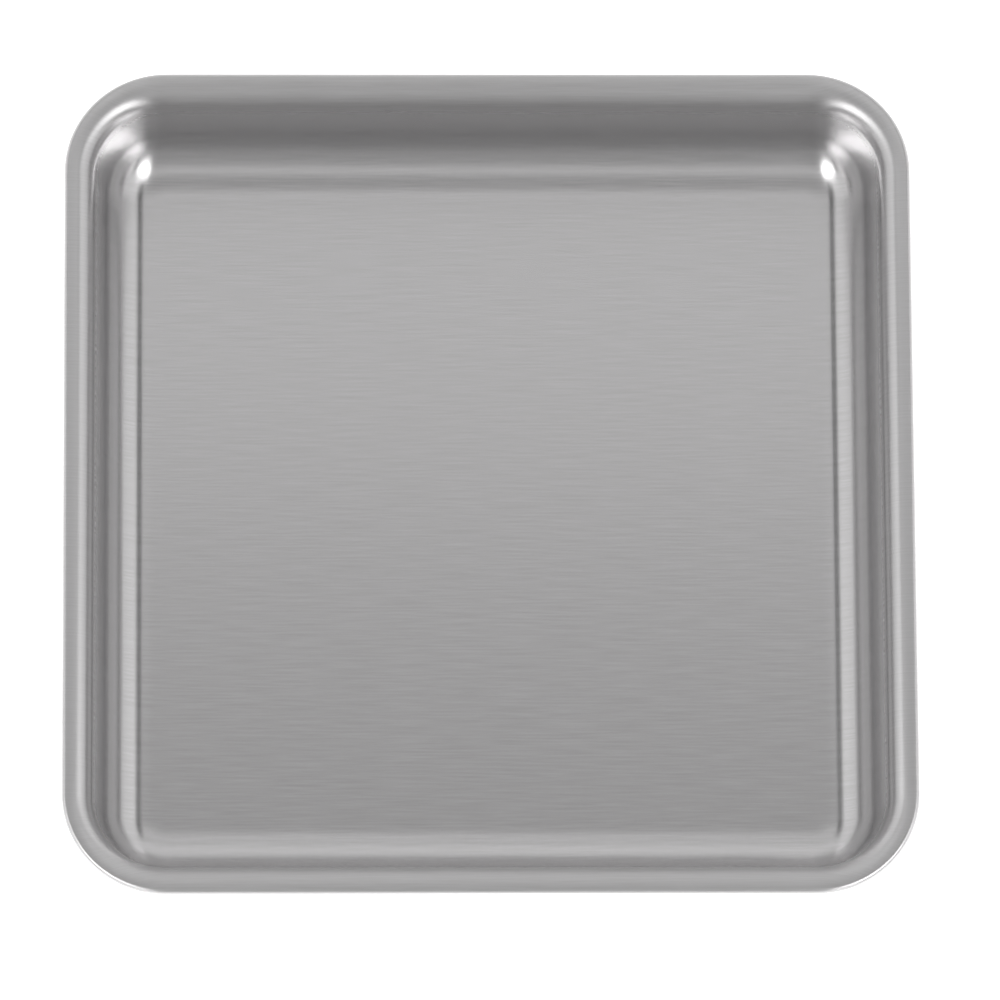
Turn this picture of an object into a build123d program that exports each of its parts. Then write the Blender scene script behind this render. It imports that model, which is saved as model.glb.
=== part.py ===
"""Square counting pan drawn from one sheet of stainless steel.

The floor is flat, the foot of the wall is a concave bend, the wall leans out a little for draft,
and the rim rolls over into a short lip that hangs clear of the wall. The same section runs all
the way round, along four straight sides and four round corners.

Frame: +Z up, millimetres, origin at the centre of the underside of the floor.
"""

import math
import os

from build123d import *

# Driving dimensions.
pan_width = 220.0  # over the lip, the same both ways
pan_height = 31.0  # underside of the floor to the crest of the lip
corner_radius = 26.5  # outermost edge of the lip, seen from above
sheet_thickness = 0.8
wall_draft = 11.5  # degrees that the wall leans out from upright
lip_drop = 2.4  # crest of the lip down to its free edge
floor_overlap = 1.0  # flat floor that the swept ring keeps inside the foot bend

# Bend radii, on the middle line of the sheet.
foot_bend = 14.5
shoulder_bend = 6.5
lip_bend = 0.7

# The middle line of the sheet, as the corners that its bends round off.
half_sheet = sheet_thickness / 2
draft = math.radians(wall_draft)
setback_share = math.tan((math.pi / 2 - draft) / 2)  # corner to tangent point, per unit of radius
floor_z = half_sheet
crest_z = pan_height - half_sheet
edge_x = pan_width / 2 - half_sheet
shoulder_x = edge_x - lip_bend - shoulder_bend * setback_share
foot_x = shoulder_x - (crest_z - floor_z) * math.tan(draft)
flat_floor_half = foot_x - foot_bend * setback_share
ring_start = flat_floor_half - floor_overlap
ring_corner_radius = corner_radius - (pan_width / 2 - ring_start)


def sheet_face(shift):
    """Draw one face of the sheet, shift above its middle line, from the floor to the free edge."""
    wall_shift = shift * (math.tan(draft) - 1 / math.cos(draft))
    corners = (
        (ring_start, floor_z + shift),
        (foot_x + wall_shift, floor_z + shift),
        (shoulder_x + wall_shift, crest_z + shift),
        (edge_x + shift, crest_z + shift),
        (edge_x + shift, pan_height - lip_drop + half_sheet),
    )
    return FilletPolyline(*corners, radius=(foot_bend - shift, shoulder_bend + shift, lip_bend + shift))


# One cut through the sheet, closed by the rounded free edge of the lip.
with BuildSketch(Plane.XZ) as sheet_section:
    with BuildLine():
        upper_face = sheet_face(half_sheet)
        lower_face = sheet_face(-half_sheet)
        Line(upper_face @ 0, lower_face @ 0)
        TangentArc(upper_face @ 1, lower_face @ 1, tangent=upper_face % 1)
    make_face()

# The run that the section follows, a rounded square on the flat floor.
ring_corners = (
    (ring_start, 0),
    (ring_start, ring_start),
    (-ring_start, ring_start),
    (-ring_start, -ring_start),
    (ring_start, -ring_start),
)
with BuildLine() as ring_run:
    FilletPolyline(*ring_corners, radius=(0, *[ring_corner_radius] * 4), close=True)

with BuildPart() as tray_pan:
    sweep(sections=sheet_section.sketch, path=ring_run.line)
    with BuildSketch():
        RectangleRounded(2 * ring_start, 2 * ring_start, ring_corner_radius)
    extrude(amount=sheet_thickness)

tray_pan.part.label = "tray_pan"

os.makedirs("parts", exist_ok=True)
export_step(tray_pan.part, "parts/tray_pan.step")
size = tray_pan.part.bounding_box().size
print(f"tray_pan {size.X:.2f} x {size.Y:.2f} x {size.Z:.2f} mm, {tray_pan.part.volume:.0f} mm3")
print(f"flat floor {2 * flat_floor_half:.1f} mm across, valid {tray_pan.part.is_valid}")
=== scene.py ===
"""A square counting pan of brushed stainless steel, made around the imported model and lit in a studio.

The pan is one drawn sheet: a flat floor, a concave bend at the foot of the wall, a wall that leans
out a little, and a rim that rolls over into a short lip. Lengths are in metres.
"""

import logging
import math
from dataclasses import dataclass
from enum import Enum
from typing import Any

import bpy
from mathutils import Matrix, Vector


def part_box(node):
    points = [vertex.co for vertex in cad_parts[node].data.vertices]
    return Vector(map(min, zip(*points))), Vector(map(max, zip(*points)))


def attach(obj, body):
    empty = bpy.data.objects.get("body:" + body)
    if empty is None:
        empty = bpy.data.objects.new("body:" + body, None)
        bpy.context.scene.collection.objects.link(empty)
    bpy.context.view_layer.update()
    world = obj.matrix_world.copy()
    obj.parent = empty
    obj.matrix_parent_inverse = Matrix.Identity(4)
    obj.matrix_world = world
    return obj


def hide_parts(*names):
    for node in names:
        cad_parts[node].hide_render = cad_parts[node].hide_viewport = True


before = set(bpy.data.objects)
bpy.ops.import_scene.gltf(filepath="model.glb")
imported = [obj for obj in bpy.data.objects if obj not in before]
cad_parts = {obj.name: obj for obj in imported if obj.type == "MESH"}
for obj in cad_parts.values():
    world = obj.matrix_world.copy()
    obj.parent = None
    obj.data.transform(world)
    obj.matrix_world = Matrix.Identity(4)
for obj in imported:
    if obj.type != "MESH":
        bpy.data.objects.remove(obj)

MM = 0.001
ROOT_BODY = "root"
PAN_NODE = "tray_pan"
STEEL_SLOT = "brushed_stainless"
BLANK_MAP = "blank"  # where each point of the pan lay on the flat sheet before it was drawn
REACH = "reach"  # run of sheet from the floor's edge, in metres
MERGE_DISTANCE = 0.001 * MM

log = logging.getLogger("counting_pan")


class SheetFace(Enum):
    """The two faces of the sheet, as the sign of the step from its middle to that face."""

    INSIDE = 1.0
    OUTSIDE = -1.0


def linear(hex_colour: str) -> tuple[float, float, float, float]:
    """Turns an sRGB hex colour into linear light.

    Args:
        hex_colour: Six hex digits, with or without a leading hash.

    Returns:
        Red, green, blue and an alpha of 1.
    """
    digits = hex_colour.lstrip("#")
    levels = [int(digits[i : i + 2], 16) / 255 for i in (0, 2, 4)]
    red, green, blue = (
        level / 12.92 if level <= 0.04045 else ((level + 0.055) / 1.055) ** 2.4 for level in levels
    )
    return red, green, blue, 1.0


def add_node(
    tree: bpy.types.NodeTree, kind: str, sockets: dict[Any, Any] | None = None, **settings: Any
) -> bpy.types.Node:
    """Adds one node with its settings, and wires or fills its sockets.

    Args:
        tree: The node tree.
        kind: The node's type name.
        sockets: Input name or index to a value, a socket, or a node whose first live output is used.
        settings: Properties of the node.

    Returns:
        The new node.
    """
    node = tree.nodes.new(kind)
    for name, value in settings.items():
        setattr(node, name, value)
    for key, source in (sockets or {}).items():
        if isinstance(source, bpy.types.Node):
            source = next(output for output in source.outputs if output.enabled)
        if isinstance(source, bpy.types.NodeSocket):
            tree.links.new(source, node.inputs[key])
        else:
            node.inputs[key].default_value = source
    return node


@dataclass(frozen=True)
class BrushedStainless:
    """Brushed stainless steel, grade 304 with a number 4 finish.

    A belt of about 180 grit runs along the flat sheet before it is drawn, so the grain lies along
    the sheet, highlights spread across it, and the drawn bends are rubbed smoother and streaked.
    """

    slot: str = STEEL_SLOT
    colour: str = "cac9ca"
    streak_colour: str = "bab9b9"
    floor_roughness: float = 0.26
    wall_roughness: float = 0.25  # the die burnishes the wall and both its bends
    lip_roughness: float = 0.40
    anisotropy: float = 0.8
    spread_turn: float = 0.25  # of a full turn: highlights spread across the grain, not along it
    grain_width: float = 0.45 * MM  # the real grain is near 0.08 mm, too fine to show
    grain_length: float = 14 * MM
    grain_depth: float = 0.005 * MM
    mark_pitch: float = 0.9 * MM  # marks of the die, lines that run round the wall
    mark_length: float = 60 * MM
    mark_depth: float = 0.006 * MM
    peel_size: float = 1.1 * MM  # coarse skin where the sheet was stretched most
    peel_depth: float = 0.004 * MM
    full_reach: float = 45.8 * MM  # run of sheet from the floor's edge to the free edge
    foot_starts: float = 0.06  # as a share of that run
    lip_starts: float = 0.78
    foot_blend: float = 0.2  # share of the run over which one finish turns into the next
    lip_blend: float = 0.1
    wobble: tuple[float, float] = (0.96, 1.04)  # how far the grain shifts the roughness

    def material(self) -> bpy.types.Material:
        """Builds the finish.

        Returns:
            The material.
        """
        steel = bpy.data.materials.new("brushed_stainless_steel")
        steel.use_nodes = True
        tree = steel.node_tree
        tree.nodes.clear()
        blank = add_node(tree, "ShaderNodeUVMap", uv_map=BLANK_MAP)
        scale = Vector((1 / self.grain_length, 1 / self.grain_width, 1))
        stretched = add_node(tree, "ShaderNodeVectorMath", {0: blank, 1: scale}, operation="MULTIPLY")
        grain = add_node(
            tree,
            "ShaderNodeTexNoise",
            {"Vector": stretched, "Scale": 1.0, "Detail": 3.0},
            noise_dimensions="2D",
        )
        tint = add_node(
            tree,
            "ShaderNodeMix",
            {0: grain, 6: linear(self.streak_colour), 7: linear(self.colour)},
            data_type="RGBA",
        )
        reach = add_node(tree, "ShaderNodeAttribute", attribute_name=REACH).outputs["Fac"]
        share = add_node(tree, "ShaderNodeMath", {0: reach, 1: 1 / self.full_reach}, operation="MULTIPLY")
        zones = add_node(tree, "ShaderNodeValToRGB", {0: share})
        stops = zones.color_ramp.elements
        stops[0].position, stops[1].position = self.foot_starts, self.lip_starts + self.lip_blend
        stops[0].color = (self.floor_roughness,) * 3 + (1,)
        stops[1].color = (self.lip_roughness,) * 3 + (1,)
        for place in (self.foot_starts + self.foot_blend, self.lip_starts - self.lip_blend):
            stops.new(place).color = (self.wall_roughness,) * 3 + (1,)
        wobble = add_node(
            tree,
            "ShaderNodeMapRange",
            {
                "Value": grain,
                "From Min": 0.3,
                "From Max": 0.7,
                "To Min": self.wobble[0],
                "To Max": self.wobble[1],
            },
        )
        rough = add_node(
            tree, "ShaderNodeMath", {0: zones.outputs["Color"], 1: wobble}, operation="MULTIPLY"
        )
        drawn = add_node(
            tree,
            "ShaderNodeMapRange",
            {"Value": share, "From Min": 0.0, "From Max": self.foot_starts},
        )
        round_wall = add_node(tree, "ShaderNodeSeparateXYZ", {0: blank})
        round_wall = add_node(
            tree, "ShaderNodeMath", {0: round_wall.outputs["X"], 1: round_wall.outputs["Y"]}, operation="ADD"
        )
        along_wall = add_node(
            tree, "ShaderNodeMath", {0: round_wall, 1: 1 / self.mark_length}, operation="MULTIPLY"
        )
        up_wall = add_node(tree, "ShaderNodeMath", {0: reach, 1: 1 / self.mark_pitch}, operation="MULTIPLY")
        mark_place = add_node(tree, "ShaderNodeCombineXYZ", {"X": along_wall, "Y": up_wall})
        marks = add_node(
            tree,
            "ShaderNodeTexNoise",
            {"Vector": mark_place, "Scale": 1.0, "Detail": 2.0},
            noise_dimensions="2D",
        )
        marks = add_node(tree, "ShaderNodeMath", {0: marks, 1: drawn}, operation="MULTIPLY")
        place = add_node(tree, "ShaderNodeTexCoord").outputs["Object"]
        peel = add_node(
            tree, "ShaderNodeTexNoise", {"Vector": place, "Scale": 1 / self.peel_size, "Detail": 1.0}
        )
        peel = add_node(tree, "ShaderNodeMath", {0: peel, 1: drawn}, operation="MULTIPLY")
        relief = None
        for height, depth in ((grain, self.grain_depth), (marks, self.mark_depth), (peel, self.peel_depth)):
            sockets = {"Height": height, "Strength": 1.0, "Distance": depth}
            if relief:
                sockets["Normal"] = relief
            relief = add_node(tree, "ShaderNodeBump", sockets)
        along = add_node(tree, "ShaderNodeTangent", direction_type="UV_MAP", uv_map=BLANK_MAP)
        shader = add_node(
            tree,
            "ShaderNodeBsdfPrincipled",
            {
                "Base Color": tint.outputs[2],
                "Metallic": 1.0,
                "Roughness": rough,
                "Anisotropic": self.anisotropy,
                "Anisotropic Rotation": self.spread_turn,
                "Tangent": along,
                "Normal": relief,
            },
        )
        add_node(tree, "ShaderNodeOutputMaterial", {"Surface": shader})
        return steel


@dataclass
class DrawnPan:
    """The pan, as the section of its sheet and the rounded square that the section follows."""

    half_width: float
    height: float
    finish: BrushedStainless
    sheet: float = 0.8 * MM
    corner_radius: float = 26.5 * MM
    draft: float = math.radians(11.5)
    lip_drop: float = 2.4 * MM
    foot_bend: float = 14.5 * MM
    shoulder_bend: float = 6.5 * MM
    lip_bend: float = 0.7 * MM
    floor_overlap: float = 1.0 * MM  # flat floor that the swept ring keeps inside the foot bend
    side_cuts: int = 37  # each span stays longer than the run's corner radius
    corner_steps: int = 24
    bend_steps: int = 24
    edge_steps: int = 9

    @classmethod
    def from_frame(cls, finish: BrushedStainless) -> "DrawnPan":
        """Sizes a pan by its CAD node.

        Args:
            finish: The sheet's finish.

        Returns:
            The pan.
        """
        low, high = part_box(PAN_NODE)
        return cls(half_width=(high.x - low.x) / 2, height=high.z, finish=finish)

    def section_corners(self) -> dict[str, Vector]:
        """Gives the corners that the bends of the sheet's middle line round off.

        Returns:
            Corner name to a vector of its distance from the middle of the pan, height and bend.
        """
        half = self.sheet / 2
        floor, crest = half, self.height - half
        edge = self.half_width - half
        setback = math.tan((math.pi / 2 - self.draft) / 2)
        shoulder = edge - self.lip_bend - self.shoulder_bend * setback
        foot = shoulder - (crest - floor) * math.tan(self.draft)
        start = foot - self.foot_bend * setback - self.floor_overlap
        return {
            "Floor Start": Vector((start, floor, 0)),
            "Foot Corner": Vector((foot, floor, self.foot_bend)),
            "Wall Middle": Vector(((foot + shoulder) / 2, (floor + crest) / 2, 0)),
            "Shoulder Corner": Vector((shoulder, crest, self.shoulder_bend)),
            "Lip Corner": Vector((edge, crest, self.lip_bend)),
            "Free Edge": Vector((edge, self.height - self.lip_drop + half, 0)),
        }

    def inputs(self) -> dict[str, Any]:
        """Gives the tree's named inputs.

        Returns:
            Input name to value.
        """
        corners = self.section_corners()
        run_half = corners["Floor Start"].x
        for corner in corners.values():
            corner.x -= run_half
        return {
            **corners,
            "Sheet": self.sheet,
            "Run Half": run_half,
            "Run Corner": self.corner_radius - (self.half_width - run_half),
            "Side Cuts": self.side_cuts,
            "Corner Steps": self.corner_steps,
            "Bend Steps": self.bend_steps,
            "Edge Steps": self.edge_steps,
            "Steel": self.finish.material(),
        }

    def tree(self, values: dict[str, Any]) -> bpy.types.NodeTree:
        """Builds the Geometry Nodes tree that draws the pan.

        Args:
            values: Input name to value, which gives each input its kind.

        Returns:
            The tree.
        """
        kinds = {Vector: "Vector", float: "Float", int: "Int", bpy.types.Material: "Material"}
        tree = bpy.data.node_groups.new("drawn_pan", "GeometryNodeTree")
        tree.interface.new_socket("Geometry", in_out="OUTPUT", socket_type="NodeSocketGeometry")
        for name, value in values.items():
            tree.interface.new_socket(name, in_out="INPUT", socket_type="NodeSocket" + kinds[type(value)])
        given = add_node(tree, "NodeGroupInput").outputs
        run = self.add_run(tree, given)
        wall = add_node(
            tree, "GeometryNodeCurveToMesh", {"Curve": run, "Profile Curve": self.add_section(tree, given)}
        )
        wall = self.add_blank_map(tree, given, wall)
        floors = self.add_floors(tree, given, run)
        joined = add_node(tree, "GeometryNodeJoinGeometry")
        for part in (wall, *floors):
            tree.links.new(part.outputs[0], joined.inputs[0])
        merged = add_node(
            tree, "GeometryNodeMergeByDistance", {"Geometry": joined, "Distance": MERGE_DISTANCE}
        )
        smooth = add_node(tree, "GeometryNodeSetShadeSmooth", {"Geometry": merged})
        whole = add_node(tree, "GeometryNodeRealizeInstances", {"Geometry": smooth})
        dressed = add_node(
            tree, "GeometryNodeSetMaterial", {"Geometry": whole, "Material": given["Steel"]}
        )
        add_node(tree, "NodeGroupOutput", {"Geometry": dressed})
        return tree

    def add_run(self, tree: bpy.types.NodeTree, given: Any) -> bpy.types.Node:
        """Adds the rounded square at the edge of the floor, which the section follows.

        Args:
            tree: The tree.
            given: The group input's outputs.

        Returns:
            The node that gives the curve.
        """
        width = add_node(tree, "ShaderNodeMath", {0: given["Run Half"], 1: 2.0}, operation="MULTIPLY")
        square = add_node(tree, "GeometryNodeCurvePrimitiveQuadrilateral", {"Width": width, "Height": width})
        cut = add_node(tree, "GeometryNodeSubdivideCurve", {"Curve": square, "Cuts": given["Side Cuts"]})
        spans = add_node(tree, "ShaderNodeMath", {0: given["Side Cuts"], 1: 1.0}, operation="ADD")
        index = add_node(tree, "GeometryNodeInputIndex")
        place = add_node(tree, "ShaderNodeMath", {0: index, 1: spans}, operation="MODULO")
        at_corner = add_node(tree, "ShaderNodeMath", {0: place, 1: 0.0, 2: 0.5}, operation="COMPARE")
        radius = add_node(
            tree, "ShaderNodeMath", {0: at_corner, 1: given["Run Corner"]}, operation="MULTIPLY"
        )
        rounded = add_node(
            tree,
            "GeometryNodeFilletCurve",
            {"Curve": cut, "Count": given["Corner Steps"], "Radius": radius},
            mode="POLY",
        )
        return add_node(tree, "GeometryNodeSetCurveNormal", {"Curve": rounded}, mode="Z_UP")

    def add_section(self, tree: bpy.types.NodeTree, given: Any) -> bpy.types.Node:
        """Adds the section of the sheet, as its two faces and the round of its free edge.

        Args:
            tree: The tree.
            given: The group input's outputs.

        Returns:
            The node that gives the profile curves.
        """
        names = list(self.section_corners())
        points = add_node(tree, "GeometryNodeMeshLine", {"Count": len(names)})
        line = add_node(tree, "GeometryNodeMeshToCurve", {"Mesh": points})
        index = add_node(tree, "GeometryNodeInputIndex")
        corner = add_node(tree, "GeometryNodeIndexSwitch", {"Index": index}, data_type="VECTOR")
        while len(corner.index_switch_items) < len(names):
            corner.index_switch_items.new()
        for place, name in enumerate(names):
            tree.links.new(given[name], corner.inputs[1 + place])
        parts = add_node(tree, "ShaderNodeSeparateXYZ", {0: corner})
        down = add_node(tree, "ShaderNodeMath", {0: parts.outputs["Y"], 1: -1.0}, operation="MULTIPLY")
        place = add_node(tree, "ShaderNodeCombineXYZ", {"X": parts.outputs["X"], "Y": down})
        cornered = add_node(tree, "GeometryNodeSetPosition", {"Geometry": line, "Position": place})
        middle = add_node(
            tree,
            "GeometryNodeFilletCurve",
            {"Curve": cornered, "Count": given["Bend Steps"], "Radius": parts.outputs["Z"]},
            mode="POLY",
        )
        length = add_node(tree, "GeometryNodeSplineParameter").outputs["Length"]
        middle = add_node(
            tree, "GeometryNodeStoreNamedAttribute", {"Geometry": middle, "Name": REACH, "Value": length}
        )
        joined = add_node(tree, "GeometryNodeJoinGeometry")
        tangent = add_node(tree, "GeometryNodeInputTangent")
        across = add_node(
            tree, "ShaderNodeVectorMath", {0: tangent, 1: Vector((0, 0, 1))}, operation="CROSS_PRODUCT"
        )
        for face in SheetFace:
            step = add_node(
                tree, "ShaderNodeMath", {0: given["Sheet"], 1: face.value / 2}, operation="MULTIPLY"
            )
            offset = add_node(
                tree, "ShaderNodeVectorMath", {0: across, "Scale": step}, operation="SCALE"
            )
            line = add_node(tree, "GeometryNodeSetPosition", {"Geometry": middle, "Offset": offset})
            if face is SheetFace.OUTSIDE:
                line = add_node(tree, "GeometryNodeReverseCurve", {"Curve": line})
            tree.links.new(line.outputs[0], joined.inputs[0])
        half = add_node(tree, "ShaderNodeMath", {0: given["Sheet"], 1: 0.5}, operation="MULTIPLY")
        round_edge = add_node(
            tree,
            "GeometryNodeCurveArc",
            {"Resolution": given["Edge Steps"], "Radius": half, "Start Angle": 0.0, "Sweep Angle": math.pi},
        )
        flip = Vector((1, -1, 1))
        end = add_node(tree, "ShaderNodeVectorMath", {0: given["Free Edge"], 1: flip}, operation="MULTIPLY")
        placed = add_node(tree, "GeometryNodeTransform", {"Geometry": round_edge, "Translation": end})
        tree.links.new(placed.outputs[0], joined.inputs[0])
        return joined

    def add_blank_map(self, tree: bpy.types.NodeTree, given: Any, mesh: bpy.types.Node) -> bpy.types.Node:
        """Adds the map from each point to its place on the flat sheet.

        Args:
            tree: The tree.
            given: The group input's outputs.
            mesh: The node that gives the mesh.

        Returns:
            The node that gives the mesh with its map.
        """
        position = add_node(tree, "GeometryNodeInputPosition")
        plan = add_node(
            tree, "ShaderNodeVectorMath", {0: position, 1: Vector((1, 1, 0))}, operation="MULTIPLY"
        )
        core = add_node(
            tree, "ShaderNodeMath", {0: given["Run Half"], 1: given["Run Corner"]}, operation="SUBTRACT"
        )
        high = add_node(tree, "ShaderNodeCombineXYZ", {"X": core, "Y": core})
        low = add_node(tree, "ShaderNodeVectorMath", {0: high, "Scale": -1.0}, operation="SCALE")
        nearest = add_node(tree, "ShaderNodeVectorMath", {0: plan, 1: low}, operation="MAXIMUM")
        nearest = add_node(tree, "ShaderNodeVectorMath", {0: nearest, 1: high}, operation="MINIMUM")
        out = add_node(tree, "ShaderNodeVectorMath", {0: plan, 1: nearest}, operation="SUBTRACT")
        out = add_node(tree, "ShaderNodeVectorMath", {0: out}, operation="NORMALIZE")
        reach = add_node(tree, "GeometryNodeInputNamedAttribute", {"Name": REACH}, data_type="FLOAT")
        far = add_node(tree, "ShaderNodeMath", {0: reach, 1: given["Run Corner"]}, operation="ADD")
        step = add_node(tree, "ShaderNodeVectorMath", {0: out, "Scale": far}, operation="SCALE")
        flat = add_node(tree, "ShaderNodeVectorMath", {0: nearest, 1: step}, operation="ADD")
        return add_node(
            tree,
            "GeometryNodeStoreNamedAttribute",
            {"Geometry": mesh, "Name": BLANK_MAP, "Value": flat},
            data_type="FLOAT2",
            domain="CORNER",
        )

    def add_floors(self, tree: bpy.types.NodeTree, given: Any, run: bpy.types.Node) -> list[bpy.types.Node]:
        """Adds both faces of the floor, each a grid with a collar out to the run.

        Args:
            tree: The tree.
            given: The group input's outputs.
            run: The node that gives the run.

        Returns:
            The nodes that give the inside and the outside of the floor.
        """
        spans = add_node(tree, "ShaderNodeMath", {0: given["Side Cuts"], 1: 1.0}, operation="ADD")
        inner = add_node(tree, "ShaderNodeMath", {0: given["Side Cuts"], 1: -1.0}, operation="ADD")
        share = add_node(tree, "ShaderNodeMath", {0: inner, 1: spans}, operation="DIVIDE")
        width = add_node(tree, "ShaderNodeMath", {0: given["Run Half"], 1: 2.0}, operation="MULTIPLY")
        width = add_node(tree, "ShaderNodeMath", {0: width, 1: share}, operation="MULTIPLY")
        grid = add_node(
            tree,
            "GeometryNodeMeshGrid",
            {
                "Size X": width,
                "Size Y": width,
                "Vertices X": given["Side Cuts"],
                "Vertices Y": given["Side Cuts"],
            },
        )
        square = add_node(tree, "GeometryNodeCurvePrimitiveQuadrilateral", {"Width": width, "Height": width})
        cuts = add_node(tree, "ShaderNodeMath", {0: given["Side Cuts"], 1: -2.0}, operation="ADD")
        edge = add_node(tree, "GeometryNodeSubdivideCurve", {"Curve": square, "Cuts": cuts})
        both = add_node(tree, "GeometryNodeJoinGeometry")
        for curve in (run, edge):
            tree.links.new(curve.outputs[0], both.inputs[0])
        collar = add_node(tree, "GeometryNodeFillCurve", {"Curve": both}, mode="TRIANGLES")
        plate = add_node(tree, "GeometryNodeJoinGeometry")
        for part in (grid, collar):
            tree.links.new(part.outputs[0], plate.inputs[0])
        position = add_node(tree, "GeometryNodeInputPosition")
        mapped = add_node(
            tree,
            "GeometryNodeStoreNamedAttribute",
            {"Geometry": plate, "Name": BLANK_MAP, "Value": position},
            data_type="FLOAT2",
            domain="CORNER",
        )
        floors = []
        for face in SheetFace:
            lift = given["Sheet"] if face is SheetFace.INSIDE else 0.0
            up = add_node(tree, "ShaderNodeCombineXYZ", {"Z": lift})
            placed = add_node(tree, "GeometryNodeSetPosition", {"Geometry": mapped, "Offset": up})
            if face is SheetFace.OUTSIDE:
                placed = add_node(tree, "GeometryNodeFlipFaces", {"Mesh": placed})
            floors.append(placed)
        return floors

    def build(self) -> bpy.types.Object:
        """Draws the pan as a plain mesh in place of its CAD node.

        Returns:
            The pan.
        """
        values = self.inputs()
        pan = bpy.data.objects.new("drawn_pan", bpy.data.meshes.new("drawn_pan_host"))
        bpy.context.scene.collection.objects.link(pan)
        maker = pan.modifiers.new("drawn_pan", "NODES")
        maker.node_group = self.tree(values)
        for item in maker.node_group.interface.items_tree:
            if item.in_out == "INPUT":
                maker[item.identifier] = values[item.name]
        graph = bpy.context.evaluated_depsgraph_get()
        mesh = bpy.data.meshes.new_from_object(
            pan.evaluated_get(graph), preserve_all_data_layers=True, depsgraph=graph
        )
        pan.modifiers.clear()
        pan.data = mesh
        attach(pan, ROOT_BODY)
        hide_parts(PAN_NODE)
        return pan


class Wall(Enum):
    """The sides of the light tent, as the direction from the pan to that side."""

    LEFT = (-1, 0, 0)
    RIGHT = (1, 0, 0)
    FRONT = (0, -1, 0)
    BACK = (0, 1, 0)
    TOP = (0, 0, 1)


class Cloth(Enum):
    """What a stretch of the tent is made of, valued by how bright it is."""

    KEY = 5.0  # a softbox behind the cloth
    CARD = 0.9  # white card
    DIM = 0.35  # bare cloth, and the gap that the camera looks through


@dataclass(frozen=True)
class Panel:
    """One stretch of the tent, placed by shares of its wall.

    Across runs from the left or the front, and up runs from the table, or from the front on top.
    """

    name: str
    wall: Wall
    across: tuple[float, float]
    up: tuple[float, float]
    cloth: Cloth

    def build(self, half: float, height: float) -> bpy.types.Object:
        """Hangs the panel as a soft light that faces inwards.

        Args:
            half: Half of the tent's width.
            height: The tent's height.

        Returns:
            The light.
        """
        away = Vector(self.wall.value)
        along = Vector((0, 1, 0)) if away.x else Vector((1, 0, 0))
        rise = Vector((0, 2 * half, 0)) if away.z else Vector((0, 0, height))
        corner = Vector((away.x * half, away.y * half, away.z * height)) - along * half
        if away.z:
            corner.y = -half
        middle = corner + along * half * sum(self.across) + rise * sum(self.up) / 2
        lamp = bpy.data.lights.new(self.name, "AREA")
        lamp.shape = "RECTANGLE"
        lamp.size = (self.across[1] - self.across[0]) * 2 * half
        lamp.size_y = (self.up[1] - self.up[0]) * rise.length
        lamp.energy = self.cloth.value * math.pi * lamp.size * lamp.size_y
        light = bpy.data.objects.new(self.name, lamp)
        side = rise.normalized().cross(away)
        light.matrix_world = Matrix.Translation(middle) @ Matrix(
            (side, rise.normalized(), away)
        ).transposed().to_4x4()
        light.visible_camera = False
        bpy.context.scene.collection.objects.link(light)
        return light


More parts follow.
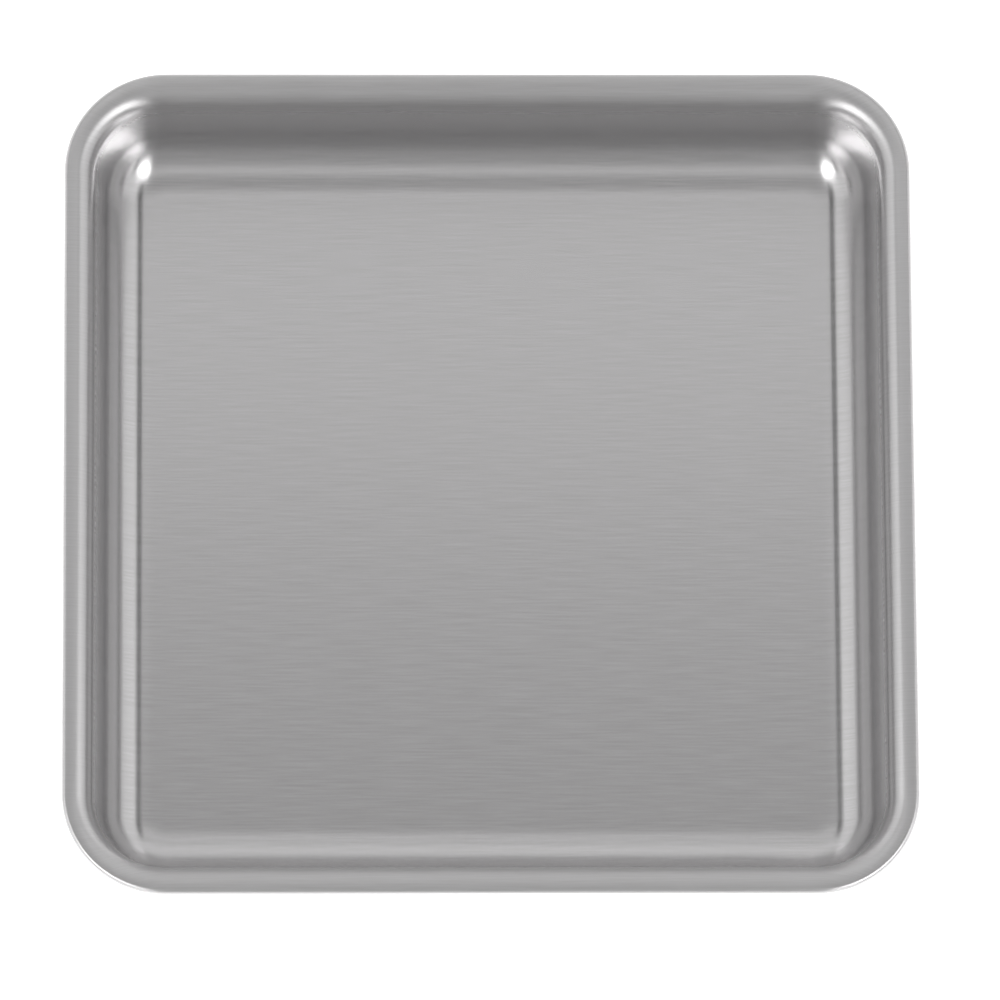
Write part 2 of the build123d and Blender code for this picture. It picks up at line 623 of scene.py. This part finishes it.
@dataclass(frozen=True)
class Studio:
    """The pale table and the light tent round the pan."""

    table_colour: str = "f4f4f4"
    table_half: float = 6.0
    table_glow: float = 0.8
    room_level: float = 0.1
    tent_half: float = 0.4
    tent_height: float = 0.45
    panels: tuple[Panel, ...] = (
        Panel("left_softbox", Wall.LEFT, (0, 0.2), (0.4, 1), Cloth.KEY),
        Panel("right_softbox", Wall.RIGHT, (0, 0.2), (0.4, 1), Cloth.KEY),
        Panel("front_left_softbox", Wall.FRONT, (0, 0.2), (0.4, 1), Cloth.KEY),
        Panel("front_right_softbox", Wall.FRONT, (0.8, 1), (0.4, 1), Cloth.KEY),
        Panel("top_left_softbox", Wall.TOP, (0, 0.2), (0, 0.25), Cloth.KEY),
        Panel("top_right_softbox", Wall.TOP, (0.8, 1), (0, 0.25), Cloth.KEY),
        Panel("left_card", Wall.LEFT, (0.2, 1), (0, 1), Cloth.CARD),
        Panel("right_card", Wall.RIGHT, (0.2, 1), (0, 1), Cloth.CARD),
        Panel("back_card", Wall.BACK, (0, 1), (0, 1), Cloth.CARD),
        Panel("overhead_card", Wall.TOP, (0.2, 0.8), (0.65, 0.9), Cloth.CARD),
        Panel("overhead_front_card", Wall.TOP, (0.2, 0.8), (0, 0.25), Cloth.CARD),
        Panel("overhead_cloth", Wall.TOP, (0.2, 0.8), (0.25, 0.65), Cloth.DIM),
        Panel("front_cloth", Wall.FRONT, (0.2, 0.8), (0, 1), Cloth.DIM),
    )

    def build(self) -> None:
        """Lays the table, hangs the tent's panels and sets the room's level."""
        self.build_table()
        for panel in self.panels:
            panel.build(self.tent_half, self.tent_height)
            log.info("light %s", panel.name)
        self.build_room()

    def build_table(self) -> bpy.types.Object:
        """Lays the pale table.

        Returns:
            The table.
        """
        half = self.table_half
        mesh = bpy.data.meshes.new("table")
        corners = [(-half, -half, 0), (half, -half, 0), (half, half, 0), (-half, half, 0)]
        mesh.from_pydata(corners, [], [(0, 1, 2, 3)])
        paper = bpy.data.materials.new("white_paper_sweep")
        paper.use_nodes = True
        tree = paper.node_tree
        tree.nodes.clear()
        diffuse = add_node(tree, "ShaderNodeBsdfDiffuse", {"Color": linear(self.table_colour)})
        glow = add_node(
            tree,
            "ShaderNodeEmission",
            {"Color": linear(self.table_colour), "Strength": self.table_glow},
        )
        both = add_node(tree, "ShaderNodeAddShader", {0: diffuse, 1: glow})
        add_node(tree, "ShaderNodeOutputMaterial", {"Surface": both})
        mesh.materials.append(paper)
        table = bpy.data.objects.new("table", mesh)
        bpy.context.scene.collection.objects.link(table)
        return table

    def build_room(self) -> None:
        """Sets the light that the room sends back, and a white backdrop."""
        room = bpy.data.worlds.new("room")
        room.use_nodes = True
        tree = room.node_tree
        tree.nodes.clear()
        path = add_node(tree, "ShaderNodeLightPath")
        level = add_node(
            tree,
            "ShaderNodeMapRange",
            {"Value": path.outputs["Is Camera Ray"], "To Min": self.room_level, "To Max": 1.0},
        )
        backdrop = add_node(tree, "ShaderNodeBackground", {"Color": linear("ffffff"), "Strength": level})
        add_node(tree, "ShaderNodeOutputWorld", {"Surface": backdrop})
        bpy.context.scene.world = room
        bpy.context.scene.view_settings.view_transform = "Standard"


@dataclass(frozen=True)
class ProductCamera:
    """A long lens that looks down into the pan from the front."""

    tilt: float = 16.1  # degrees away from straight down
    turn: float = 4.06  # degrees that the pan is turned under the camera
    roll: float = -3.88
    distance: float = 2.970
    frame_width: float = 0.2581  # width that the lens takes in at the rim
    aim: tuple[float, float] = (2.75 * MM, -5.48 * MM)
    rim: float = 30 * MM
    clip_end: float = 20.0

    def build(self) -> bpy.types.Object:
        """Places the camera and makes it the scene's own.

        Returns:
            The camera.
        """
        lens = bpy.data.cameras.new("product_camera")
        lens.lens = lens.sensor_width * self.distance / self.frame_width
        camera = bpy.data.objects.new("product_camera", lens)
        stand = (
            Matrix.Translation((*self.aim, self.rim))
            @ Matrix.Rotation(math.radians(-self.turn), 4, "Z")
            @ Matrix.Rotation(math.radians(self.tilt), 4, "X")
            @ Matrix.Rotation(math.radians(-self.roll), 4, "Z")
            @ Matrix.Translation((0, 0, self.distance))
        )
        camera.matrix_world = stand
        lens.clip_end = self.clip_end
        bpy.context.scene.collection.objects.link(camera)
        bpy.context.scene.camera = camera
        return camera


def main() -> None:
    """Builds the pan, the studio and the camera."""
    logging.basicConfig(level=logging.INFO, format="%(name)s: %(message)s")
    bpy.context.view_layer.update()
    pan = DrawnPan.from_frame(BrushedStainless()).build()
    log.info("piece %s: %d faces", pan.name, len(pan.data.polygons))
    Studio().build()
    ProductCamera().build()


if __name__ == "__main__":
    main()
